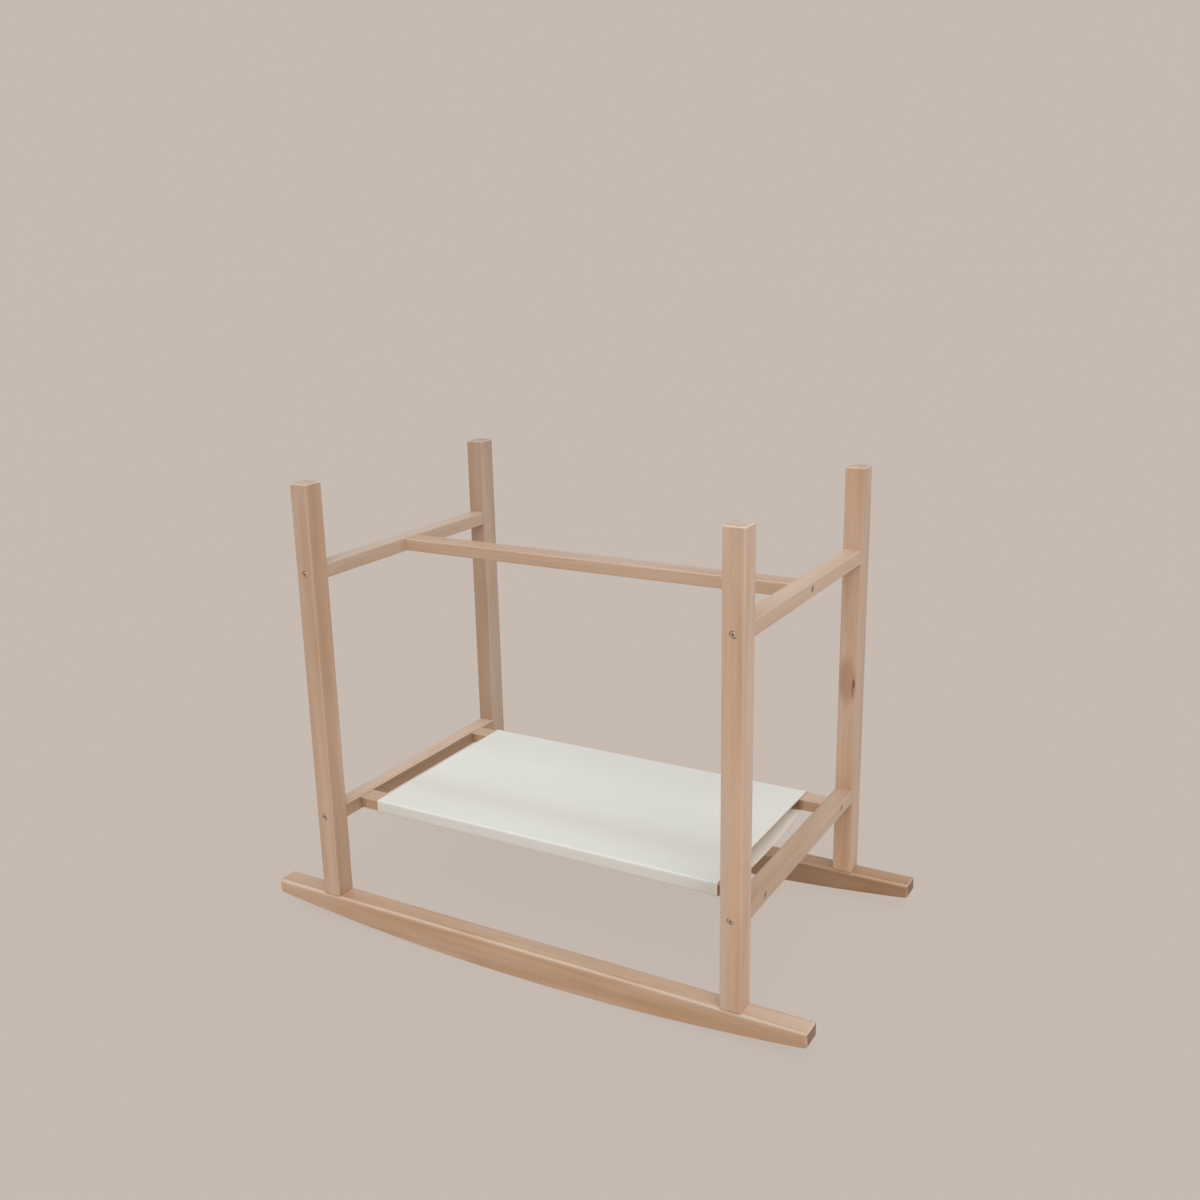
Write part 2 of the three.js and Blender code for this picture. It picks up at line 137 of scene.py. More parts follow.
# The shelf's cloth
cloth_thickness = 0.8 * mm
cloth_clearance = 0.3 * mm
cloth_sag = 3 * mm
under_sag = 10.5 * mm
hem_pull = 90 * mm
hem_width = 10 * mm
hem_thickness = 0.7 * mm
hem_step = 1.2 * mm
hem_outward_share = 0.3
hem_full_from = 3 * mm
hem_round_steps = 4
hem_thinnest_share = 0.1
seam_lap = 10 * mm
seam_rise = 5 * mm
seam_gap = 0.05 * mm
cloth_step = 4 * mm
cloth_smoothing = 50
bend_steps = 5
hold_steepness = 4
ripple_height = 0.35 * mm
ripple_along, ripple_across, ripple_seed = 9, 14, 0.7
pucker_height = 0.1 * mm
pucker_length = 7 * mm
pucker_reach = 6 * mm
pucker_wander, pucker_seed = 30, 3.1
stitch_pitch = 3.4 * mm
stitch_length = 2.7 * mm
stitch_width = 0.5 * mm
stitch_height = 0.3 * mm
stitch_lift_share = 0.8
stitch_sides, stitch_rings = 8, 6
hem_stitch_inset = 7.5 * mm
hem_stitch_pull = 1 * mm
seam_stitch_inset = 2 * mm
seam_end_gap = 3 * mm


def linear(red, green, blue):
    """A colour read off a screen, from 0 to 255, as the linear light that a shader takes."""
    shares = (red / 255, green / 255, blue / 255)
    return tuple(s / 12.92 if s <= 0.04 else ((s + 0.055) / 1.055) ** 2.4 for s in shares)


# Modelling helpers

def deselect():
    bpy.ops.object.select_all(action="DESELECT")


def only(obj):
    """Selects one object alone and makes it the active one."""
    deselect()
    obj.select_set(True)
    bpy.context.view_layer.objects.active = obj


def settle(obj, name):
    """Names a new object, and moves its place into its mesh."""
    obj.name = name
    obj.data.name = name
    only(obj)
    bpy.ops.object.transform_apply(location=True, rotation=True, scale=True)
    return obj


def block(name, low, high):
    """A squared-up blank between two corners."""
    deselect()
    bpy.ops.mesh.primitive_cube_add(size=1, location=(low + high) / 2)
    blank = bpy.context.active_object
    blank.scale = high - low
    return settle(blank, name)


def rod(start, end, radius, corners=bore_sides):
    """A round bar from one point to another."""
    deselect()
    way = end - start
    turn = way.to_track_quat("Z", "Y").to_euler()
    bpy.ops.mesh.primitive_cylinder_add(
        vertices=corners, radius=radius, depth=way.length, location=(start + end) / 2, rotation=turn
    )
    return settle(bpy.context.active_object, "rod")


def edit(obj, action="SELECT"):
    """Goes into edit mode on one object, with all or nothing of its mesh selected."""
    only(obj)
    bpy.ops.object.mode_set(mode="EDIT")
    bpy.ops.mesh.select_all(action=action)


def leave_edit():
    bpy.ops.object.mode_set(mode="OBJECT")


def ease(obj, wanted, radius, segments=arris_segments):
    """Rounds the edges that pass a test."""
    edit(obj, "DESELECT")
    bpy.ops.mesh.select_mode(type="EDGE")
    work = bmesh.from_edit_mesh(obj.data)
    for edge in work.edges:
        edge.select_set(wanted(edge))
    bmesh.update_edit_mesh(obj.data)
    bpy.ops.mesh.bevel(offset=radius, segments=segments, affect="EDGES", clamp_overlap=False)
    leave_edit()


def combine(piece, cutter, operation):
    """Cuts a cutter out of a piece, or keeps only what both share, and takes the cutter away."""
    modifier = piece.modifiers.new("cut", "BOOLEAN")
    modifier.operation = operation
    modifier.solver = "EXACT"
    modifier.object = cutter
    only(piece)
    bpy.ops.object.modifier_apply(modifier="cut")
    bpy.data.objects.remove(cutter)


def cut(piece, cutters):
    for cutter in cutters:
        combine(piece, cutter, "DIFFERENCE")


def runs_along(axis):
    """A test for edges that lie along one axis."""
    def wanted(edge):
        way = (edge.verts[1].co - edge.verts[0].co).normalized()
        return abs(way[axis]) > straight
    return wanted


def in_plane(axis, place):
    """A test for edges that lie in a plane square to an axis."""
    return lambda edge: all(abs(v.co[axis] - place) < plane_tolerance for v in edge.verts)


def on_circle(centre, axis, radius):
    """A test for the edges of a round rim."""
    def at(point):
        away = point - centre
        off_plane = abs(away[axis])
        away[axis] = 0
        return off_plane < rim_level_tolerance and abs(away.length - radius) < rim_radius_tolerance
    return lambda edge: all(at(v.co) for v in edge.verts)


def closed_outward(obj):
    """Merges doubled points and turns every face outwards."""
    edit(obj)
    bpy.ops.mesh.remove_doubles(threshold=merge_distance)
    bpy.ops.mesh.normals_make_consistent(inside=False)
    leave_edit()


def copied(piece):
    copy = piece.copy()
    copy.data = piece.data.copy()
    bpy.context.collection.objects.link(copy)
    return copy


def sewn(name, points, faces):
    """A new piece from its points and faces."""
    mesh = bpy.data.meshes.new(name)
    mesh.from_pydata(points, [], faces)
    piece = bpy.data.objects.new(name, mesh)
    bpy.context.collection.objects.link(piece)
    return piece


def twin(piece, node):
    """A copy of a front or left piece, mirrored to where its twin is."""
    copy = copied(piece)
    copy.scale = (-1 if "right" in node else 1, -1 if "back" in node else 1, 1)
    settle(copy, node + "_wood")
    if ("right" in node) != ("back" in node):
        closed_outward(copy)
    return copy


def smooth(piece, degrees):
    """Smooth shading over the rounded edges, with the flats kept flat."""
    only(piece)
    bpy.ops.object.shade_smooth_by_angle(angle=math.radians(degrees))
    modifier = piece.modifiers.new("flats", "WEIGHTED_NORMAL")
    modifier.keep_sharp = True
    bpy.ops.object.modifier_apply(modifier="flats")


def mark_wear_and_highlight(piece, grain):
    """Writes how much of a rounded edge each point is on, from its normal, as an attribute that pales the
    edges: partly wear, partly a painted highlight.

    The long edges count for less than the rims of the ends.
    """
    half_turned = 1 - math.sqrt(0.5)
    reached = [v.co[grain] for v in piece.data.vertices]
    first, last = min(reached), max(reached)
    worn_and_highlit = piece.data.attributes.new("worn_and_highlit", "FLOAT", "POINT")
    for vertex in piece.data.vertices:
        along = abs(vertex.normal[grain])
        others = [abs(vertex.normal[i]) for i in (X, Y, Z) if i != grain]
        across = math.hypot(*others)
        tilt = 1 - max(others) / across if across > flat_end_limit else 0
        off_end = min(vertex.co[grain] - first, last - vertex.co[grain]) > end_face_depth
        rim = 1 - max(along, across) if off_end else 0
        worn_and_highlit.data[vertex.index].value = min(1, max(long_edge_wear_and_highlight * tilt, rim) / half_turned)


# Bores, each round the fitting that goes in it

def long_axis(node):
    low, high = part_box(node)
    size = high - low
    return max((X, Y, Z), key=lambda i: size[i])


def middle(node):
    low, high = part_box(node)
    return (low + high) / 2


def bore(node, radius):
    """A bore along a fitting's axis, a little longer than the fitting."""
    low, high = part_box(node)
    axis = long_axis(node)
    start, end = middle(node), middle(node)
    start[axis] = low[axis] - bore_end
    end[axis] = high[axis] + bore_end
    return rod(start, end, radius)


def pin_bore(node):
    low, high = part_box(node)
    return bore(node, min(high - low) / 2 + pin_clearance)


def outward_end(node, carrier):
    """A fitting's mouth in the outer face of what carries it, its axis, and which way is out."""
    axis = long_axis(node)
    mouth = middle(node)
    way = 1 if mouth[axis] > 0 else -1
    mouth[axis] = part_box(carrier)[1 if way > 0 else 0][axis]
    return mouth, axis, way


def pocket(node, carrier, radius, depth):
    """The sunk seat for a head."""
    mouth, axis, way = outward_end(node, carrier)
    seat, outside = mouth.copy(), mouth.copy()
    seat[axis] -= way * depth
    outside[axis] += way * overrun
    return rod(seat, outside, radius)


def nut_bore(node, rail):
    """The upright bore for a barrel nut, open at the rail's underside."""
    mouth, top = middle(node), middle(node)
    mouth.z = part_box(rail)[0].z - overrun
    top.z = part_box(node)[1].z + bore_end
    return rod(mouth, top, nut_radius + pin_clearance)


def ease_rim(piece, node, carrier, radius):
    mouth, axis, _ = outward_end(node, carrier)
    ease(piece, on_circle(mouth, axis, radius), rim_easing, rim_segments)


def ease_nut_rim(piece, node, rail):
    mouth = middle(node)
    mouth.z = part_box(rail)[0].z
    ease(piece, on_circle(mouth, Z, nut_radius + pin_clearance), rim_easing, rim_segments)


# The wooden pieces

def bar(node, grain):
    """A planed bar with its long edges eased."""
    piece = block(node + "_wood", *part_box(node))
    ease(piece, runs_along(grain), rail_arris)
    mark_wear_and_highlight(piece, grain)
    return piece


def corner_depth(radius, inset):
    """How far a rounded corner lies behind its end face, at one distance in from the side."""
    away = radius - min(inset, radius)
    return radius - math.sqrt(radius**2 - away**2)


def round_tips_in_plan(piece, low, high):
    """Widens the rounding of the tips' upright edges beyond the arris."""
    for inset in (rocker_tip_corner, (rocker_tip_corner + rocker_arris) / 2):
        for y in (low.y + inset, high.y - inset):
            edit(piece)
            bpy.ops.mesh.bisect(plane_co=(0, y, 0), plane_no=(0, 1, 0))
            leave_edit()
    for vertex in piece.data.vertices:
        point = vertex.co
        inset = max(0, min(point.y - low.y, high.y - point.y))
        extra = max(0, corner_depth(rocker_tip_corner, inset) - corner_depth(rocker_arris, inset))
        near_tip = min(1, max(0, (abs(point.x) - high.x + 2 * rocker_tip_blend) / rocker_tip_blend))
        point.x -= math.copysign(extra * near_tip, point.x)


def rocker(node):
    """A lath sawn to a long sweep below, flat on top, with rounded tips."""
    low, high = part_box(node)
    piece = block(node + "_wood", low, high)
    reach = (high.x - low.x) / 2
    flat = rocker_resting_flat / 2
    rise = high.z - low.z - rocker_tip_height
    sweep_height = ((reach**2 - flat**2) / rise + rise) / 2
    sweep_radius = math.hypot(sweep_height, flat)
    hub = Vector((0, (low.y + high.y) / 2, low.z + sweep_height))
    half_width = Vector((0, (high.y - low.y) / 2 + overrun, 0))
    wheel = rod(hub - half_width, hub + half_width, sweep_radius, sweep_sides)
    combine(piece, wheel, "INTERSECT")

    def at_tip(edge, height):
        in_end_face = all(abs(abs(v.co.x) - reach) < plane_tolerance for v in edge.verts)
        return in_end_face and all(abs(v.co.z - height) < tip_tolerance for v in edge.verts)

    ease(piece, lambda e: at_tip(e, high.z), rocker_tip_top_radius, tip_segments)
    ease(piece, lambda e: at_tip(e, low.z + rise), rocker_tip_bottom_radius, tip_segments)
    ease(piece, lambda e: in_plane(Y, low.y)(e) or in_plane(Y, high.y)(e), rocker_arris)
    round_tips_in_plan(piece, low, high)
    mark_wear_and_highlight(piece, X)
    cut(piece, [pin_bore(f"post_dowel_front_{end}_{place}") for end in ends for place in foot_dowels])
    return piece


def take_head(piece, node, fitting, bore_radius, radius, depth, more=()):
    """Bores a piece for a bolt or a screw, with a sunk seat for its head."""
    cut(piece, [bore(fitting, bore_radius), pocket(fitting, node, radius, depth), *more])
    ease_rim(piece, fitting, node, radius)


def take_bolt(piece, node, joint):
    """The outer side of a bolted joint: the bolt's bore and seat, and the dowel's bore beside it."""
    seat = (bolt_bore_radius, bolt_pocket_radius, bolt_pocket_depth)
    take_head(piece, node, "bolt_" + joint, *seat, [pin_bore("dowel_" + joint)])


def post(corner):
    """A square post with rounded corners and an eased top rim."""
    node = "post_" + corner
    low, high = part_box(node)
    piece = block(node + "_wood", low, high)
    ease(piece, runs_along(Z), post_corner_radius)
    ease(piece, in_plane(Z, high.z), post_top_bevel)
    mark_wear_and_highlight(piece, Z)
    for level in levels:
        take_bolt(piece, node, f"{level}_{corner}")
    cut(piece, [pin_bore(f"post_dowel_{corner}_{place}") for place in foot_dowels])
    return piece


def rail(node, grain, joints):
    """A bar bored at both ends for a bolt, its barrel nut and a dowel."""
    piece = bar(node, grain)
    for joint in joints:
        nut = "barrel_nut_" + joint
        cut(piece, [
            bore("bolt_" + joint, bolt_bore_radius),
            pin_bore("dowel_" + joint),
            nut_bore(nut, node),
        ])
        ease_nut_rim(piece, nut, node)
    return piece


def top_rail(end):
    """The upper short rail, with the long rail's bolt through its middle."""
    node = "top_rail_" + end
    piece = rail(node, Y, [f"top_{side}_{end}" for side in sides])
    take_bolt(piece, node, "long_rail_" + end)
    return piece


def lower_rail(end):
    """The lower short rail, with a screw through it into each slat."""
    node = "lower_rail_" + end
    piece = rail(node, Y, [f"lower_{side}_{end}" for side in sides])
    seat = (screw_bore_radius, screw_pocket_radius, screw_pocket_depth)
    for side in sides:
        take_head(piece, node, f"slat_screw_{side}_{end}", *seat)
    return piece


def slat(node):
    """A slat of the shelf, bored in its ends for the screws."""
    piece = bar(node, X)
    cut(piece, [bore("slat_screw_front_" + end, screw_bore_radius) for end in ends])
    return piece


def all_woodwork():
    """Every bar of the stand by its node's name. What repeats is made once, and mirrored."""
    made = {"rocker_front": rocker("rocker_front")}
    made["long_rail"] = rail("long_rail", X, ["long_rail_" + end for end in ends])
    made["post_front_left"] = post("front_left")
    made["top_rail_left"] = top_rail("left")
    made["lower_rail_left"] = lower_rail("left")
    made["shelf_slat_front"] = slat("shelf_slat_front")
    for node in looks:
        if node not in made:
            made[node] = twin(made[node.replace("right", "left").replace("back", "front")], node)
    return made


# The steel fittings, each turned about the upright axis with its head up, and then laid in place

def turned(name, outline):
    """A round piece drawn up from its lowest disc, through (radius, height) rings."""
    deselect()
    radius, height = outline[0]
    bpy.ops.mesh.primitive_circle_add(
        vertices=bore_sides, radius=radius, fill_type="NGON", location=(0, 0, height)
    )
    piece = settle(bpy.context.active_object, name)
    edit(piece)
    for (radius, height), (next_radius, next_height) in zip(outline, outline[1:]):
        step = (0, 0, next_height - height)
        bpy.ops.mesh.extrude_region_move(TRANSFORM_OT_translate={"value": step})
        wider = next_radius / radius
        bpy.ops.transform.resize(value=(wider, wider, 1), center_override=(0, 0, next_height))
    leave_edit()
    closed_outward(piece)
    return piece


def dome(radius, low, high):
    """The rings of a domed head, from its side up to its crown."""
    turns = [math.pi / 2 * i / dome_steps for i in range(dome_steps)]
    return [(radius * math.cos(t), low + (high - low) * math.sin(t)) for t in turns]


def mark_recess(piece, reach):
    """Marks the faces inside a head's socket or cross, where dirt sits and shade is painted, as the
    attribute recess.
    """
    marks = piece.data.attributes.new("recess", "FLOAT", "FACE")
    for face in piece.data.polygons:
        from_axis = math.hypot(face.center.x, face.center.y)
        inside = from_axis < reach and face.center.z > -bolt_head_height
        outwards = face.normal.x * face.center.x + face.normal.y * face.center.y
        wall = outwards < -recess_wall_slope * from_axis
        bottom = face.normal.z > straight and from_axis < recess_middle
        marks.data[face.index].value = 1 if inside and (wall or bottom) else 0


def domed(name, length, shank, tip, tip_length, head, head_height, head_side):
    """A pin with a domed head, its crown at the origin, from the radii of its shank, tip and head."""
    return turned(name, [
        (tip, -length),
        (shank, -length + tip_length),
        (shank, -head_height),
        (head, -head_height),
        *dome(head, -head_height + head_side, 0),
    ])


def bolt_pattern(length):
    """A dome-headed bolt with a six-sided socket."""
    tip = bolt_radius - bolt_tip_chamfer
    head = (bolt_head_radius, bolt_head_height, bolt_head_side)
    piece = domed("bolt", length, bolt_radius, tip, bolt_tip_chamfer, *head)
    socket_radius = bolt_socket_width / math.sqrt(3)
    top, foot = Vector((0, 0, overrun)), Vector((0, 0, -bolt_socket_depth))
    cut(piece, [rod(foot, top, socket_radius, bolt_socket_sides)])
    mark_recess(piece, socket_radius)
    return piece


def screw_pattern(length):
    """A dome-headed wood screw with a cross recess."""
    head = (screw_head_radius, screw_head_height, screw_head_side)
    piece = domed("screw", length, screw_radius, screw_tip_radius, screw_point, *head)
    for span, width in ((cross_span, cross_width), (cross_width, cross_span)):
        low = Vector((-span / 2, -width / 2, -cross_depth))
        cut(piece, [block("cross", low, Vector((span / 2, width / 2, overrun)))])
    mark_recess(piece, cross_span / 2)
    return piece


def nut_pattern(length):
    """A slotted barrel nut, upright, its slotted foot at the origin and its thread along X."""
    outline = [
        (nut_radius - nut_easing, 0),
        (nut_radius, nut_easing),
        (nut_radius, length - nut_easing),
        (nut_radius - nut_easing, length),
    ]
    piece = turned("barrel_nut", outline)
    reach = nut_radius + overrun
    slot_low = Vector((-reach, -nut_slot_width / 2, -overrun))
    slot_high = Vector((reach, nut_slot_width / 2, nut_slot_depth))
    half = length / 2
    thread = rod(Vector((-reach, 0, half)), Vector((reach, 0, half)), bolt_bore_radius)
    cut(piece, [block("slot", slot_low, slot_high), thread])
    return piece


def laid(piece, name, place, way, spin=0):
    """A copy of a fitting with its origin at a place, pointing a way, and spun about its own axis."""
    copy = copied(piece)
    turn = Vector(way).to_track_quat("Z", "Y").to_matrix().to_4x4()
    copy.matrix_world = Matrix.Translation(place) @ turn @ Matrix.Rotation(spin, 4, "Z")
    return settle(copy, name)


def headed(make, nodes):
    """Lays a headed fitting in each of its nodes' places. All of them have one length."""
    low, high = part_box(nodes[0])
    pattern = make(max(high - low))
    made = {}
    for node in nodes:
        crown, axis, out = outward_end(node, node)
        way = [0, 0, 0]
        way[axis] = out
        made[node] = laid(pattern, node + "_steel", crown, way)
    bpy.data.objects.remove(pattern)
    return made


def all_fittings():
    """Every bolt, barrel nut and screw by its node's name."""
    corners = [f"{side}_{end}" for side in sides for end in ends]
    made = headed(bolt_pattern, [f"bolt_{level}_{corner}" for level in levels for corner in corners])
    made.update(headed(bolt_pattern, [f"bolt_long_rail_{end}" for end in ends]))
    made.update(headed(screw_pattern, [f"slat_screw_{corner}" for corner in corners]))
    nuts = sorted(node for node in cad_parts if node.startswith("barrel_nut_"))
    low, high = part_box(nuts[0])
    pattern = nut_pattern(high.z - low.z)
    for node in nuts:
        foot = middle(node)
        foot.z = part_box(node)[0].z
        quarter = 0 if "long_rail" in node else math.pi / 2
        made[node] = laid(pattern, node + "_steel", foot, (0, 0, 1), quarter)
    bpy.data.objects.remove(pattern)
    return made


# The shelf's cloth: an open-ended sleeve round both slats, closed by a lapped seam under the back one

slat_low, slat_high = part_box("shelf_slat_front")
cloth_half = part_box("shelf_cover")[1].x
cloth_off = cloth_clearance + cloth_thickness / 2
bend_radius = rail_arris + cloth_off
bend_at = cloth_off - slat_low.y - bend_radius
under_level = slat_low.z - cloth_off
lap_step = cloth_thickness + seam_gap
seam_front = bend_at - seam_lap - seam_rise
free_half = -slat_high.y


def bend(y, z, start, end):
    """Points round a slat's corner, as (y, z), between two angles in degrees."""
    turns = [math.radians(start + (end - start) * i / bend_steps) for i in range(bend_steps + 1)]
    return [(y + bend_radius * math.cos(t), z + bend_radius * math.sin(t)) for t in turns]


def spaced(points):
    """The same line with no two points further apart than a step of the cloth's mesh."""
    made = [points[0]]
    for a, b in zip(points, points[1:]):
        count = max(1, math.ceil(math.dist(a, b) / cloth_step))
        made += [tuple(p + (q - p) * i / count for p, q in zip(a, b)) for i in range(1, count + 1)]
    return made


def under_layer():
    """Points of the slack stretch from the seam to the front slat, as (y, z)."""
    span = -bend_at - seam_front
    count = round(abs(span) / cloth_step)
    shares = [i / count for i in range(count + 1)]
    return [(seam_front + span * s, under_level - 4 * under_sag * s * (1 - s)) for s in shares]


def sleeve_line():
    """The cloth's middle line as (y, z): from the seam forwards under the shelf, and back over it."""
    front = [
        *bend(-bend_at, under_level + bend_radius, -90, -180),
        *bend(-bend_at, slat_high.z + cloth_off - bend_radius, 180, 90),
    ]
    return [
        (bend_at, under_level - lap_step),
        (bend_at - seam_lap, under_level - lap_step),
        *under_layer(),
        *front,
        *[(-y, z) for y, z in reversed(front)],
        (bend_at - seam_lap, under_level),
    ]


cloth_line = spaced(sleeve_line())
cloth_lengths = [0, *accumulate(math.dist(a, b) for a, b in zip(cloth_line, cloth_line[1:]))]


def line_normal(i):
    """The way out of the cloth at one point of its line, as (y, z)."""
    a = cloth_line[max(0, i - 1)]
    b = cloth_line[min(len(cloth_line) - 1, i + 1)]
    way = Vector((b[0] - a[0], b[1] - a[1])).normalized()
    return Vector((-way.y, way.x))


def smooth_step(value):
    value = min(1, max(0, value))
    return value * value * (3 - 2 * value)


def hem(x):
    """How much of the folded hem there is at one place along the shelf, from 0 to 1."""
    inside = cloth_half - hem_width - abs(x)
    return 1 - smooth_step(inside / hem_step + 0.5)


def slack(x, y, z):
    """How far the cloth stands out from its line: the top's sag, slow ripples and the hems' puckers.

    At the seam it is the hems' thickness, which the outer layer has to clear.
    """
    if y > seam_front:
        return max(0, under_level - z) / lap_step * hem(x) * hem_thickness
    if abs(y) > free_half:
        return 0
    share = y / free_half
    held = smooth_step((1 - abs(share)) * hold_steepness)
    ripple = noise.noise(Vector((x * ripple_along, y * ripple_across, ripple_seed)))
    wander = noise.noise(Vector((y * pucker_wander, x, pucker_seed)))
    from_stitches = abs(cloth_half - hem_stitch_inset - abs(x))
    pucker = math.sin(2 * math.pi * (y / pucker_length + wander)) * math.exp(-from_stitches / pucker_reach)
    loose = held * (ripple_height * ripple + pucker_height * pucker)
    if z < slat_low.z:
        return loose
    off_hem = smooth_step((cloth_half - abs(x)) / hem_pull)
    return loose - cloth_sag * off_hem * math.cos(share * math.pi / 2) ** 2


def cloth_point(x, i, out):
    """A point of the cloth's surface, a distance out from its middle."""
    y, z = cloth_line[i]
    normal = line_normal(i)
    out += slack(x, y, z)
    return Vector((x, y + normal.x * out, z + normal.y * out))


def cloth_stations():
    """Places along the shelf, as (x, share of the thickness), with rounded ends."""
    round_radius = (cloth_thickness + hem_thickness) / 2
    turns = [math.pi / 2 * i / hem_round_steps for i in range(hem_round_steps, -1, -1)]
    rounding = [(round_radius * (1 - math.sin(t)), max(hem_thinnest_share, math.cos(t))) for t in turns]
    stitch = -cloth_half + hem_stitch_inset
    step = -cloth_half + hem_width
    folded = [-cloth_half + hem_full_from, stitch - hem_stitch_pull, stitch, stitch + hem_stitch_pull]
    folded += [step + hem_step * i / 2 for i in range(-2, 3)]
    left = [(-cloth_half + inset, share) for inset, share in rounding] + [(x, 1) for x in folded]
    span = cloth_half - hem_width - 2 * hem_step
    count = round(2 * span / cloth_step)
    single = [(-span + 2 * span * i / count, 1) for i in range(count + 1)]
    return left + single + [(-x, share) for x, share in reversed(left)]


def shelf_cloth():
    """The sleeve as a closed shell, with a UV map in metres along its threads. Its inside is marked."""
    stations = cloth_stations()
    last = len(cloth_line) - 1
    ring = [(i, 1) for i in range(last + 1)] + [(i, -1) for i in reversed(range(last + 1))]
    size = len(ring)
    points, faces = [], []
    for x, share in stations:
        extra = hem(x) * hem_thickness
        half = (cloth_thickness + extra) / 2 * share
        points += [cloth_point(x, i, hem_outward_share * extra + way * half) for i, way in ring]
    for s in range(len(stations) - 1):
        for r in range(size):
            a, b = s * size + r, s * size + (r + 1) % size
            faces.append((a, b, b + size, a + size))
    for base in (0, (len(stations) - 1) * size):
        for i in range(last):
            faces.append((base + i, base + i + 1, base + size - 2 - i, base + size - 1 - i))
    piece = sewn("shelf_cover_cloth", points, faces)
    mesh = piece.data
    inside = mesh.attributes.new("inside", "FLOAT", "FACE")
    for face in mesh.polygons:
        inside.data[face.index].value = all(v % size > last for v in face.vertices)
    threads = mesh.uv_layers.new(name="threads")
    for loop in mesh.loops:
        i = ring[loop.vertex_index % size][0]
        threads.data[loop.index].uv = (mesh.vertices[loop.vertex_index].co.x, cloth_lengths[i])
    closed_outward(piece)
    only(piece)
    bpy.ops.object.shade_smooth_by_angle(angle=math.radians(cloth_smoothing))
    return piece


def at_length(x, length, out):
    """A point of the cloth's outside at a length along its line, and the way that line runs there."""
    i = max(k for k, reached in enumerate(cloth_lengths) if reached <= length)
    i = min(i, len(cloth_lengths) - 2)
    share = (length - cloth_lengths[i]) / (cloth_lengths[i + 1] - cloth_lengths[i])
    a, b = cloth_point(x, i, out), cloth_point(x, i + 1, out)
    normal = line_normal(i).lerp(line_normal(i + 1), share).normalized()
    return a.lerp(b, share), (b - a).normalized(), Vector((0, normal.x, normal.y))


def one_stitch():
    """A short rounded stitch along X, half sunk in the cloth."""
    deselect()
    bpy.ops.mesh.primitive_uv_sphere_add(segments=stitch_sides, ring_count=stitch_rings, radius=0.5)
    stitch = bpy.context.active_object
    stitch.rotation_euler = (0, math.pi / 2, 0)
    settle(stitch, "stitch")
    stitch.scale = (stitch_length, stitch_width, stitch_height)
    return settle(stitch, "stitch")


def stitch_places():
    """The frame of every stitch: two rows along the lapped seam, and one round each hem."""
    made = []
    top = cloth_thickness / 2
    total = cloth_lengths[-1]
    count = int(2 * (cloth_half - seam_end_gap) / stitch_pitch)
    for length in (seam_stitch_inset, seam_lap - seam_stitch_inset):
        for i in range(count):
            x = (i - (count - 1) / 2) * stitch_pitch
            place, _, up = at_length(x, length, top + hem(x) * hem_thickness * stitch_lift_share)
            made.append((place, Vector((1, 0, 0)), up))
    count = int((total - 2 * seam_lap) / stitch_pitch)
    for x in (-cloth_half + hem_stitch_inset, cloth_half - hem_stitch_inset):
        for i in range(count):
            length = total / 2 + (i - (count - 1) / 2) * stitch_pitch
            made.append(at_length(x, length, top + hem_thickness * stitch_lift_share))
    return made


def stitching():
    """All the stitches of the shelf's cloth, as one piece."""
    pattern = one_stitch()
    shape = [v.co.copy() for v in pattern.data.vertices]
    outline = [tuple(p.vertices) for p in pattern.data.polygons]
    bpy.data.objects.remove(pattern)
    points, faces = [], []
    for place, way, up in stitch_places():
        turn = Matrix((way, up.cross(way), up)).transposed()
        first = len(points)
        points += [place + turn @ p for p in shape]
        faces += [tuple(first + i for i in face) for face in outline]
    piece = sewn("shelf_cover_stitches", points, faces)
    only(piece)
    bpy.ops.object.shade_smooth()
    return piece


# Material helpers

def fill(tree, target, inputs):
    """Gives a node's inputs their values, or links them to the outputs of other nodes."""
    for socket, value in inputs.items():
        if isinstance(value, bpy.types.NodeSocket):
            tree.links.new(value, target.inputs[socket])
        else:
            target.inputs[socket].default_value = value


def add(tree, kind, inputs=None, **settings):
    """Adds a node to a material."""
    made = tree.nodes.new("ShaderNode" + kind)
    for name, value in settings.items():
        setattr(made, name, value)
    fill(tree, made, inputs or {})
    return made


def mixed(tree, share, first, second, blend="MIX"):
    """Two colours mixed, the second one by its share."""
    colours = [c if isinstance(c, bpy.types.NodeSocket) else (*c, 1) for c in (first, second)]
    inputs = {0: share, 6: colours[0], 7: colours[1]}
    return add(tree, "Mix", inputs, data_type="RGBA", blend_type=blend).outputs[2]


def ranged(tree, value, low, high, to_low=0.0, to_high=1.0):
    """A value moved from one range to another, and kept in it."""
    inputs = {"Value": value, "From Min": low, "From Max": high, "To Min": to_low, "To Max": to_high}
    return add(tree, "MapRange", inputs).outputs["Result"]


def maths(tree, operation, *values):
    return add(tree, "Math", dict(enumerate(values)), operation=operation).outputs[0]


def vectors(tree, operation, *values):
    """Maths on vectors. A length and a dot product come back as a number."""
    made = add(tree, "VectorMath", dict(enumerate(values)), operation=operation)
    return made.outputs["Value" if operation in ("LENGTH", "DOT_PRODUCT") else "Vector"]


def along_axis(tree, vector, axis):
    return add(tree, "SeparateXYZ", {0: vector}).outputs[axis]


def object_place(tree):
    return add(tree, "TexCoord").outputs["Object"]


def face_way(tree):
    return add(tree, "NewGeometry").outputs["True Normal"]


def marked(tree, name):
    return add(tree, "Attribute", attribute_name=name).outputs["Fac"]


def tinted(tree, colour, tone, value, strength, low=0.0, high=1.0):
    """A colour with a tone laid over it: none of it at the low value, its full strength at the high one."""
    return mixed(tree, ranged(tree, value, low, high, 0.0, strength), colour, tone)


def bumps(tree, height, strength, distance):
    return add(tree, "Bump", {"Height": height, "Strength": strength, "Distance": distance}).outputs[0]


